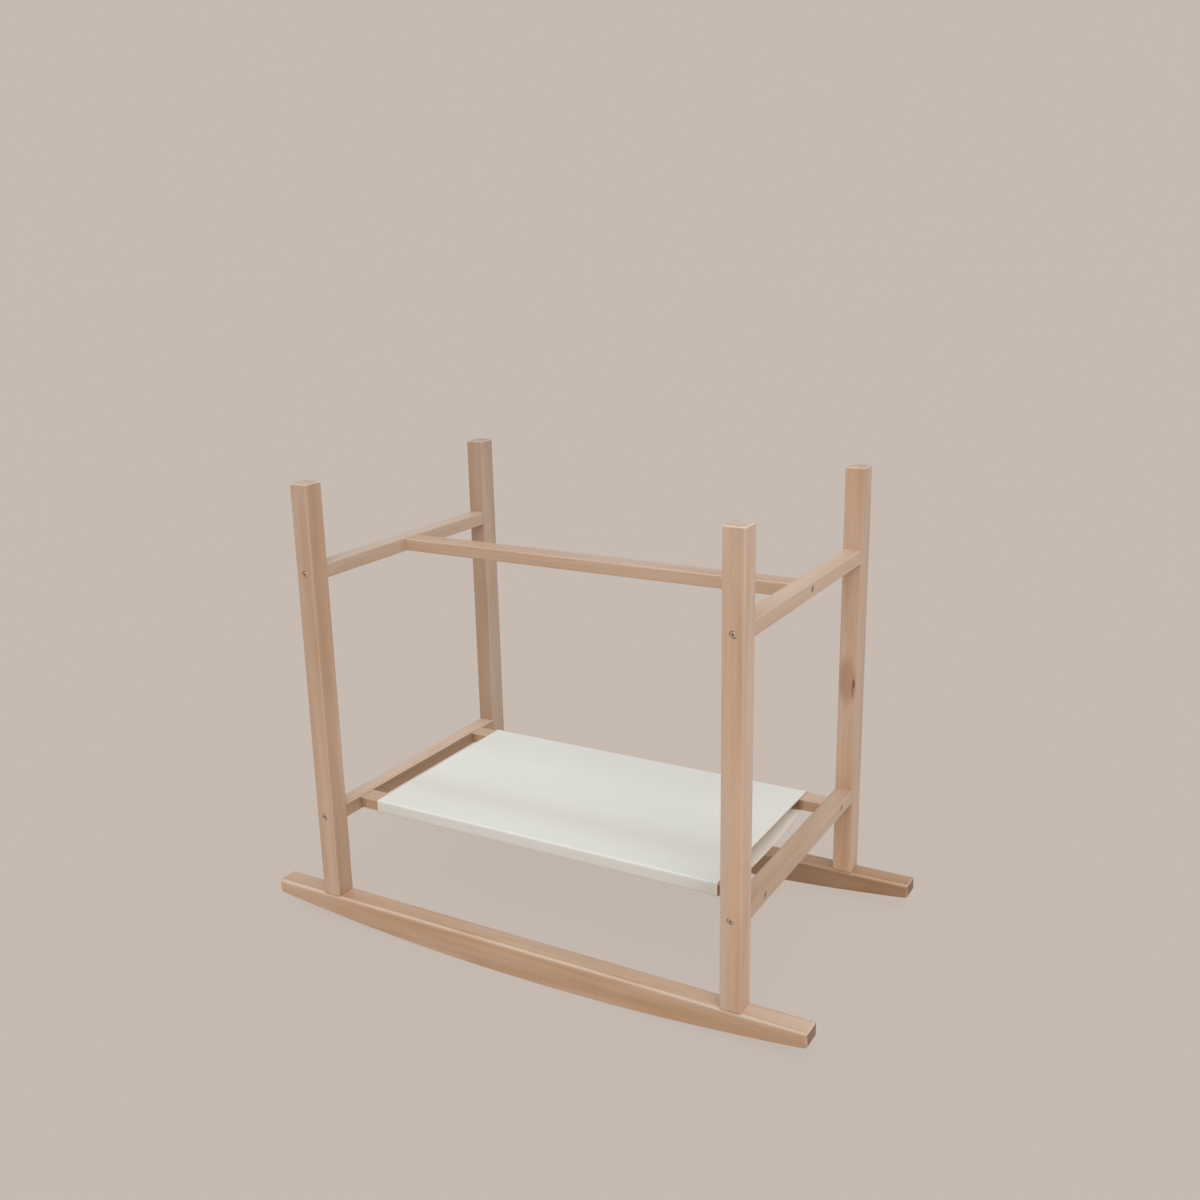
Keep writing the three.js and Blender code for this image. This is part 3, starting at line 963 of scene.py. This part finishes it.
def stretched_noise(tree, vector, scale, detail=2.0, roughness=0.5, output="Fac"):
    """Noise with its own number of spots per metre along each axis."""
    sized = vectors(tree, "MULTIPLY", vector, scale)
    inputs = {"Vector": sized, "Scale": 1.0, "Detail": detail, "Roughness": roughness}
    return add(tree, "TexNoise", inputs).outputs[output]


def new_material(name):
    """A material with its tree and its shader."""
    material = bpy.data.materials.new(name)
    material.use_nodes = True
    tree = material.node_tree
    return material, tree, tree.nodes["Principled BSDF"]


# Beech

beech_pale = linear(220, 193, 170)
beech_warm = linear(205, 163, 126)
beech_orange = linear(196, 143, 98)
beech_fleck = linear(150, 110, 80)
# Pale edges: partly wear, partly a painted highlight.
beech_worn_and_highlit = linear(234, 216, 198)
# Dark end grain, and also the tone of the painted shade on upright faces.
end_grain_and_shade_dark = linear(104, 70, 46)
knot_red = linear(158, 96, 66)
knot_dark = linear(112, 70, 45)
ring_gap = 4.2 * mm
wave_length_at_one = 2 * math.pi / 20
drift_length = 16 * mm
grain_turns = {X: (0, 0, 0), Y: (0, 0, -math.pi / 2), Z: (0, math.pi / 2, 0)}
grain_ways = {X: (1, 0, 0), Y: (0, 1, 0), Z: (0, 0, 1)}

# Spots per metre, along the log and both ways across it
drift_spots = (3, 16, 16)
ring_spots = (1.2, 90, 90)
streak_spots = (1.4, 85, 85)
patch_spots = (3.2, 24, 24)
glow_spots = (8, 62, 62)
fibre_spots = (30, 1300, 1300)
fleck_spots = (330, 2600, 1500)

# How much of a tone shows at most
late_wood_share = 0.13
fibre_share = 0.07
fleck_share = 0.26
glow_share = 0.55

# Each bar's look: how light and warm it is, the pith's direction in degrees and distance in mm, the
# grain's lean, where along the log the bar was, how much its faces differ, how pale its edges are from
# wear and a painted highlight, and how much paler its quarter-sawn faces and its right, back or upper end
# are. The differences between faces and along the bar are partly the wood's figure and partly painted
# shade and light. The pith's direction is seen along the grain: at 0 a post's left and right faces, or a
# rail's top, are quarter-sawn, at 90 the others.
look_parts = "shade warmth turn pith lean seed face_gap wear face_pale end_pale"
Look = namedtuple("Look", look_parts, defaults=(0.05, 0.35, 0.35, 0))
looks = {
    "rocker_front": Look(0.92, 0.62, 12, 60, 0.8, 3, 0.08, 0.3, 0.8),
    # Painted shade: the back rocker is darker, with its front darker than its top, for the shade it lies in
    # under the shelf.
    "rocker_back": Look(0.78, 1.60, 12, 70, -0.7, 8, 0.27, 0.3, 0.9),
    "post_front_left": Look(0.89, 0.47, 46, 80, 0.5, 12, 0.04, 0.8),
    "post_front_right": Look(1.0, 0.50, 12, 70, 0.4, 17, 0.03, 1.0, end_pale=0.46),
    "post_back_left": Look(0.74, 0.45, 155, 70, -0.5, 23, 0.04, 0.5),
    "post_back_right": Look(0.92, 0.58, 20, 75, 0.6, 29, -0.01, 0.6, 0.65),
    "top_rail_left": Look(0.885, 0.04, 10, 70, 0.6, 35, 0),
    "top_rail_right": Look(0.97, 0.26, 95, 80, -0.6, 41, -0.02),
    "long_rail": Look(0.94, 0.50, 40, 65, 0.3, 47),
    # Painted shade and light: its inner face is darker for the shade it lies in, and its back end paler for
    # light thrown onto it from the cloth.
    "lower_rail_left": Look(0.86, 0.66, 8, 60, 0.8, 53, 0.16, face_pale=0.7, end_pale=0.3),
    "lower_rail_right": Look(0.87, 0.40, 85, 75, 0.5, 59, 0.07, 0.1),
    "shelf_slat_front": Look(0.88, 0.55, 20, 70, 0.5, 65),
    "shelf_slat_back": Look(0.92, 0.50, 15, 70, 0.5, 71),
}
dowel_look = Look(0.95, 0.2, 0, 30, 0, 5)
end_looks = {"post": (beech_fleck, 0.2), "rocker": (end_grain_and_shade_dark, 0.8)}
plain_end = (beech_fleck, 0.35)

# The knot's patch, slit and tail: across the post and up from the knot, half sizes, tone, strength
knot_height = 320 * mm
knot_parts = (
    (12 * mm, 7 * mm, (13 * mm, 6 * mm, 36 * mm), knot_red, 0.58),
    (21.5 * mm, 3 * mm, (2.1 * mm, 5 * mm, 8 * mm), knot_dark, 0.95),
    (20.3 * mm, -9 * mm, (1.8 * mm, 5 * mm, 11 * mm), knot_dark, 0.6),
)

# Painted shade: how far it reaches, and its strength beside the cloth, at the left rail and at a post's
# foot
slat_shade_reach = 11 * mm
foot_shade_reach = 2.2 * mm
hem_shade_inset = 4 * mm
hem_shade, rail_shade, foot_shade = 0.7, 0.5, 0.25


def in_the_log(tree, centre, grain, look):
    """The Object coordinates, the same ones in the bar's log, and how near to quarter-sawn each face is.

    In the log X runs up the tree, and the pith is at zero.
    """
    lean, turn = math.radians(look.lean), math.radians(look.turn)
    log_turn = Euler(grain_turns[grain])
    log_turn.rotate(Euler((0, lean, lean * 0.7)))
    pith = look.pith * mm
    shift = Vector((look.seed, pith * math.cos(turn), pith * math.sin(turn)))
    place = shift - log_turn.to_matrix() @ centre
    at = object_place(tree)
    log = add(tree, "Mapping", {"Vector": at, "Location": place, "Rotation": log_turn}).outputs[0]

    turned_way = {"Vector": face_way(tree), "Rotation": log_turn}
    faced = add(tree, "Mapping", turned_way, vector_type="VECTOR").outputs[0]
    outwards = vectors(tree, "NORMALIZE", vectors(tree, "MULTIPLY", log, (0, 1, 1)))
    flat_sawn = maths(tree, "ABSOLUTE", vectors(tree, "DOT_PRODUCT", faced, outwards))
    return at, log, ranged(tree, flat_sawn, 0.75, 0.25)


def add_knot(tree, at, colour, streak, knot):
    """A small dark knot with a streaky reddish patch, each a soft ellipsoid."""
    streaky = ranged(tree, streak, 0.36, 0.62, 0.55, 1.0)
    for place, half, tone, strength in knot:
        away = vectors(tree, "SUBTRACT", at, place)
        reach = vectors(tree, "LENGTH", vectors(tree, "MULTIPLY", away, [1 / h for h in half]))
        share = ranged(tree, reach, 1.15, 0.55, 0.0, strength)
        colour = mixed(tree, maths(tree, "MULTIPLY", share, streaky), colour, tone)
    return colour


def add_painted_shade(tree, at, colour, shade_bands):
    """Painted shade: darker bands on the upright faces, each from an axis, a place on it, a reach and a
    strength.
    """
    level = maths(tree, "ABSOLUTE", along_axis(tree, face_way(tree), Z))
    upright = maths(tree, "SUBTRACT", 1.0, level)
    for axis, place, reach, strength in shade_bands:
        away = maths(tree, "ABSOLUTE", maths(tree, "SUBTRACT", along_axis(tree, at, axis), place))
        near = ranged(tree, away, reach, 0.3 * reach, 0.0, strength)
        colour = mixed(tree, maths(tree, "MULTIPLY", near, upright), colour, end_grain_and_shade_dark)
    return colour


def beech(name, box, grain, look, end, knot=(), shade_bands=()):
    """Lacquered beech: streaks and rings along the bar, fine flecks, its end grain, edges made pale by wear
    and a painted highlight, painted shade and light by face and along the bar, and painted shade near the
    cloth, joints and feet.
    """
    material, tree, shader = new_material(name)
    low, high = box
    at, log, quarter_sawn = in_the_log(tree, (low + high) / 2, grain, look)

    drift = stretched_noise(tree, log, drift_spots, 1.0, output="Color")
    centred = vectors(tree, "SUBTRACT", drift, (0.5, 0.5, 0.5))
    fibres = vectors(tree, "ADD", log, vectors(tree, "MULTIPLY", centred, (drift_length,) * 3))

    ring_inputs = {"Vector": fibres, "Scale": wave_length_at_one / ring_gap}
    rings = add(tree, "TexWave", ring_inputs, wave_type="RINGS", rings_direction="X").outputs["Fac"]
    seen = ranged(tree, stretched_noise(tree, fibres, ring_spots, 1.0), 0.4, 0.62)
    late_wood = maths(tree, "MULTIPLY", ranged(tree, rings, 0.5, 1.0), seen)
    streak = stretched_noise(tree, fibres, streak_spots, 3.0, 0.6)
    patch = stretched_noise(tree, fibres, patch_spots, 1.0)
    glow = stretched_noise(tree, fibres, glow_spots, 1.5)
    fibre = stretched_noise(tree, fibres, fibre_spots)
    fleck = stretched_noise(tree, fibres, fleck_spots, 1.0)

    warm = ranged(tree, patch, 0.35, 0.66, look.warmth - 0.25, look.warmth + 0.3)
    # Paler towards one end: partly the wood's drift, partly painted light.
    pale_end = ranged(tree, along_axis(tree, at, grain), low[grain], high[grain], 0.0, look.end_pale)
    paler = maths(tree, "ADD", maths(tree, "MULTIPLY", quarter_sawn, look.face_pale), pale_end)
    colour = mixed(tree, maths(tree, "SUBTRACT", warm, paler), beech_pale, beech_warm)
    colour = tinted(tree, colour, beech_orange, glow, glow_share * look.warmth, 0.52, 0.72)
    band = ranged(tree, streak, 0.28, 0.72, 0.9 * look.shade, 1.07 * look.shade)
    # Faces lighter or darker by how they were sawn, which also paints shade on faces that get less light.
    by_face = ranged(tree, quarter_sawn, 0.0, 1.0, 1 - look.face_gap, 1 + look.face_gap)
    colour = mixed(tree, 1.0, colour, maths(tree, "MULTIPLY", band, by_face), "MULTIPLY")
    colour = tinted(tree, colour, beech_fleck, late_wood, late_wood_share)
    colour = tinted(tree, colour, beech_fleck, fibre, fibre_share, 0.3, 0.7)
    colour = tinted(tree, colour, beech_fleck, fleck, fleck_share, 0.6, 0.72)

    lengthwise = maths(tree, "ABSOLUTE", vectors(tree, "DOT_PRODUCT", face_way(tree), grain_ways[grain]))
    end_tone, end_share = end
    colour = tinted(tree, colour, end_tone, lengthwise, end_share, 0.72, 0.95)
    # Pale edges: wear, and a painted highlight along the arrises and rims.
    colour = tinted(tree, colour, beech_worn_and_highlit, marked(tree, "worn_and_highlit"), look.wear)
    if knot:
        colour = add_knot(tree, at, colour, streak, knot)
    # Painted shade beside the cloth's end, at the left rail joint, or at a post's foot.
    if shade_bands:
        colour = add_painted_shade(tree, at, colour, shade_bands)

    height = maths(tree, "ADD", fibre, maths(tree, "MULTIPLY", late_wood, -0.5))
    fill(tree, shader, {
        "Base Color": colour,
        "Roughness": ranged(tree, fibre, 0.25, 0.75, 0.36, 0.48),
        "Specular IOR Level": 0.6,
        "Normal": bumps(tree, height, 0.2, 0.08 * mm),
    })
    return material


def post_knot():
    """The knot on the front face of the back right post, as places, half sizes, tones and strengths."""
    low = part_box("post_back_right")[0]
    return [
        (Vector((low.x + across, low.y, knot_height + up)), half, tone, strength)
        for across, up, half, tone, strength in knot_parts
    ]


def painted_shade_on(name):
    """The painted shade on a slat beside the cloth's right end and at the left rail, or at a post's foot.
    """
    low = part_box(name)[0]
    if name.startswith("shelf_slat"):
        beside_cloth = (X, cloth_half - hem_shade_inset, slat_shade_reach, hem_shade)
        return [beside_cloth, (X, low.x, slat_shade_reach, rail_shade)]
    if name.startswith("post"):
        return [(Z, low.z, foot_shade_reach, foot_shade)]
    return []


# Canvas

canvas_light = linear(236, 237, 230)
canvas_shade = linear(231, 230, 222)
canvas_gap = linear(216, 213, 205)
# Painted highlight: the cloth paler where it runs over the slats' arrises.
canvas_highlight = linear(247, 248, 244)
canvas_side = linear(219, 216, 209)
hem_cream = linear(242, 234, 219)
hem_edge = linear(176, 156, 132)
# Painted light: the sleeve's inner surface paler and warmer, standing in for light shining through the thin
# cloth.
through_light_tone = linear(255, 248, 236)
# Painted shade: a soft darker band across the cloth's top, where its sag turns it away from the light.
sag_shade_tone = linear(223, 218, 211)
sag_shade_place = -72 * mm
sag_shade_reach = 46 * mm
sag_shade_share = 0.55
thread_pitch = 0.6 * mm
thread_spots = 1500
slub_spots = 25
slub_share = 0.3
gap_share = 0.25
# How much of that painted light shows on the inner surface.
through_light_share = 0.9

# Bands along the cloth's edges: how far in from the edge each starts and is full, and its strength
# The first band is a painted highlight over the slats' arrises.
highlight_band = (3.6 * mm, 1.6 * mm, 0.6)
side_band = (1.2 * mm, 0.6 * mm, 0.75)
hem_band = (3.8 * mm, 2.2 * mm, 0.9)
edge_band = (1.0 * mm, 0.5 * mm, 0.75)


def edge_tones_and_highlight(tree, colour, from_middle, from_axis):
    """A painted highlight along the cloth over the slats' arrises, its sides a little darker, its creamy
    hems, and a darker tan line at the hems' very edge.
    """
    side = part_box("shelf_cover")[1].y
    for tone, place, edge, (start, full, strength) in (
        (canvas_highlight, from_axis, side, highlight_band),
        (canvas_side, from_axis, side, side_band),
        (hem_cream, from_middle, cloth_half, hem_band),
        (hem_edge, from_middle, cloth_half, edge_band),
    ):
        colour = tinted(tree, colour, tone, place, strength, edge - start, edge - full)
    return colour


def canvas(name, woven=True):
    """Plain-woven cotton: threads over and under both ways, slubs, a painted shade band where the top's sag
    turns away from the light, and painted light on the sleeve's inside.
    """
    material, tree, shader = new_material(name)
    at = object_place(tree)
    cloud = stretched_noise(tree, at, (3, 6, 3), 1.0)
    colour = tinted(tree, canvas_light, canvas_shade, cloud, 0.6, 0.35, 0.7)
    along_shelf, across_shelf = along_axis(tree, at, X), along_axis(tree, at, Y)
    # Painted shade: the band where the sag turns the cloth away from the light, its edge wandering with the
    # cloud.
    off_sag_shade = maths(tree, "ABSOLUTE", maths(tree, "SUBTRACT", across_shelf, sag_shade_place))
    drifting = maths(tree, "ADD", off_sag_shade, maths(tree, "MULTIPLY", cloud, 0.3 * sag_shade_reach))
    colour = tinted(tree, colour, sag_shade_tone, drifting, sag_shade_share, 1.3 * sag_shade_reach, 0.2 * sag_shade_reach)
    from_middle, from_axis = (maths(tree, "ABSOLUTE", way) for way in (along_shelf, across_shelf))
    colour = edge_tones_and_highlight(tree, colour, from_middle, from_axis)
    if woven:
        threads = add(tree, "TexCoord").outputs["UV"]
        across = stretched_noise(tree, threads, (slub_spots, thread_spots, 1))
        down = stretched_noise(tree, threads, (thread_spots, slub_spots, 1))
        slub = maths(tree, "MAXIMUM", across, down)
        colour = tinted(tree, colour, canvas_gap, slub, slub_share, 0.58, 0.78)
        ways = [along_axis(tree, threads, i) for i in (X, Y)]
        turns = [maths(tree, "MULTIPLY", way, math.pi / thread_pitch) for way in ways]
        waves = [maths(tree, "COSINE", turn) for turn in turns]
        weave = maths(tree, "ABSOLUTE", maths(tree, "MULTIPLY", *waves))
        colour = tinted(tree, colour, canvas_gap, weave, gap_share, 0.5, 0.0)
        # Painted light on the sleeve's inner surface, for light shining through the thin cloth.
        colour = tinted(tree, colour, through_light_tone, marked(tree, "inside"), through_light_share)
        height = maths(tree, "ADD", weave, maths(tree, "MULTIPLY", slub, 0.7))
        fill(tree, shader, {"Normal": bumps(tree, height, 0.5, 0.12 * mm)})
    fill(tree, shader, {
        "Base Color": colour,
        "Roughness": 0.9,
        "Specular IOR Level": 0.2,
        "Sheen Weight": 0.15,
        "Sheen Roughness": 0.5,
    })
    return material


# Steel

zinc_light = linear(224, 210, 194)
zinc_dark = linear(194, 178, 160)
# Dirt with painted shade in the recesses of the heads.
socket_dirt_and_shade = linear(150, 128, 108)
cloud_spots = (260, 260, 260)
scratch_spots = (900, 900, 5000)
dirt_and_shade_share = 0.65


def zinc(name):
    """Zinc-plated steel, a little cloudy, with fine scratches, and dirt with painted shade in its recesses.
    """
    material, tree, shader = new_material(name)
    at = object_place(tree)
    cloud = stretched_noise(tree, at, cloud_spots, 3.0)
    scratch = stretched_noise(tree, at, scratch_spots)
    colour = mixed(tree, ranged(tree, cloud, 0.35, 0.65), zinc_light, zinc_dark)
    # Dirt and painted shade in the socket and the cross.
    colour = tinted(tree, colour, socket_dirt_and_shade, marked(tree, "recess"), dirt_and_shade_share)
    fill(tree, shader, {
        "Base Color": colour,
        "Roughness": ranged(tree, scratch, 0.3, 0.7, 0.45, 0.62),
        "Metallic": 0.5,
        "Normal": bumps(tree, scratch, 0.2, 0.02 * mm),
    })
    return material


def coat(piece, material):
    piece.data.materials.clear()
    piece.data.materials.append(material)


# Putting the stand together

def dress_woodwork():
    for name, piece in all_woodwork().items():
        smooth(piece, wood_smoothing)
        knot = post_knot() if name == "post_back_right" else ()
        end = end_looks.get(name.split("_")[0], plain_end)
        grain = long_axis(name)
        coat(piece, beech(name + "_beech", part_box(name), grain, looks[name], end, knot, painted_shade_on(name)))
        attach(piece, body)
        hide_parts(name)


def dress_fittings():
    steel = zinc("zinc_plate")
    for name, piece in all_fittings().items():
        smooth(piece, steel_smoothing)
        coat(piece, steel)
        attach(piece, body)
        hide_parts(name)


def dress_dowels():
    raw = {axis: beech(f"dowel_beech_{axis}", cad_box, axis, dowel_look, plain_end) for axis in (X, Y, Z)}
    for name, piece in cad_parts.items():
        if "dowel" in name:
            piece.material_slots[0].material = raw[long_axis(name)]


def dress_shelf():
    cloth = shelf_cloth()
    threads = stitching()
    coat(cloth, canvas("shelf_canvas"))
    coat(threads, canvas("shelf_thread", woven=False))
    for piece in (cloth, threads):
        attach(piece, body)
    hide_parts("shelf_cover")


# Stage, light and camera

floor_size = 60
studio_tone = linear(198, 186, 177)
floor_albedo = linear(206, 194, 185)
floor_glow = 0.88
paper_spots = (0.8, 0.8, 0.8)
paper_shade = 0.99
sky_tone = (0.99, 1.0, 1.01)
sky_strength = 0.62
key_strength = 1.28
key_way = Vector((0.35, -0.56, 0.75))
key_spread = 50
camera_lens = 38.23
camera_place = Vector((0.82299, -1.40113, 0.90371))
camera_yaw = 29.87
camera_pitch = 15.64
camera_roll = -1.17


def floor():
    """Pale paper, lit so evenly from below and above that the stand throws almost no shadow on it."""
    deselect()
    bpy.ops.mesh.primitive_plane_add(size=floor_size)
    plane = settle(bpy.context.active_object, "floor")
    material, tree, shader = new_material("floor_paper")
    cloud = stretched_noise(tree, object_place(tree), paper_spots, 1.0)
    shaded = [c * paper_shade for c in floor_albedo]
    paper = mixed(tree, cloud, floor_albedo, shaded)
    fill(tree, shader, {"Base Color": paper, "Roughness": 1.0, "Specular IOR Level": 0.0})
    glow = add(tree, "Emission", {"Color": (*studio_tone, 1)})
    both = add(tree, "MixShader", {0: floor_glow, 1: shader.outputs[0], 2: glow.outputs[0]})
    fill(tree, tree.nodes["Material Output"], {"Surface": both.outputs[0]})
    coat(plane, material)


def light():
    """An even sky, and one broad soft light from the front right."""
    world = bpy.data.worlds.new("studio")
    bpy.context.scene.world = world
    world.use_nodes = True
    tree = world.node_tree
    tree.nodes.clear()
    sky = add(tree, "Background", {"Color": (*sky_tone, 1), "Strength": sky_strength})
    seen = add(tree, "Background", {"Color": (*studio_tone, 1), "Strength": 1.0})
    ray = add(tree, "LightPath").outputs["Is Camera Ray"]
    both = add(tree, "MixShader", {0: ray, 1: sky.outputs[0], 2: seen.outputs[0]})
    add(tree, "OutputWorld", {"Surface": both.outputs[0]})

    data = bpy.data.lights.new("soft_key", "SUN")
    data.energy = key_strength
    data.angle = math.radians(key_spread)
    key = bpy.data.objects.new("soft_key", data)
    key.rotation_euler = key_way.to_track_quat("Z", "Y").to_euler()
    bpy.context.collection.objects.link(key)
    bpy.context.scene.view_settings.view_transform = "Standard"


def camera():
    """The photograph's viewpoint: turned by the yaw, pitched down from level, and rolled."""
    data = bpy.data.cameras.new("camera")
    data.lens = camera_lens
    eye = bpy.data.objects.new("camera", data)
    turns = ((camera_yaw, "Z"), (90 - camera_pitch, "X"), (camera_roll, "Z"))
    yaw, pitch, roll = (Matrix.Rotation(math.radians(angle), 4, axis) for angle, axis in turns)
    eye.matrix_world = Matrix.Translation(camera_place) @ yaw @ pitch @ roll
    bpy.context.collection.objects.link(eye)
    bpy.context.scene.camera = eye


camera()
light()
floor()
dress_woodwork()
dress_fittings()
dress_dowels()
dress_shelf()
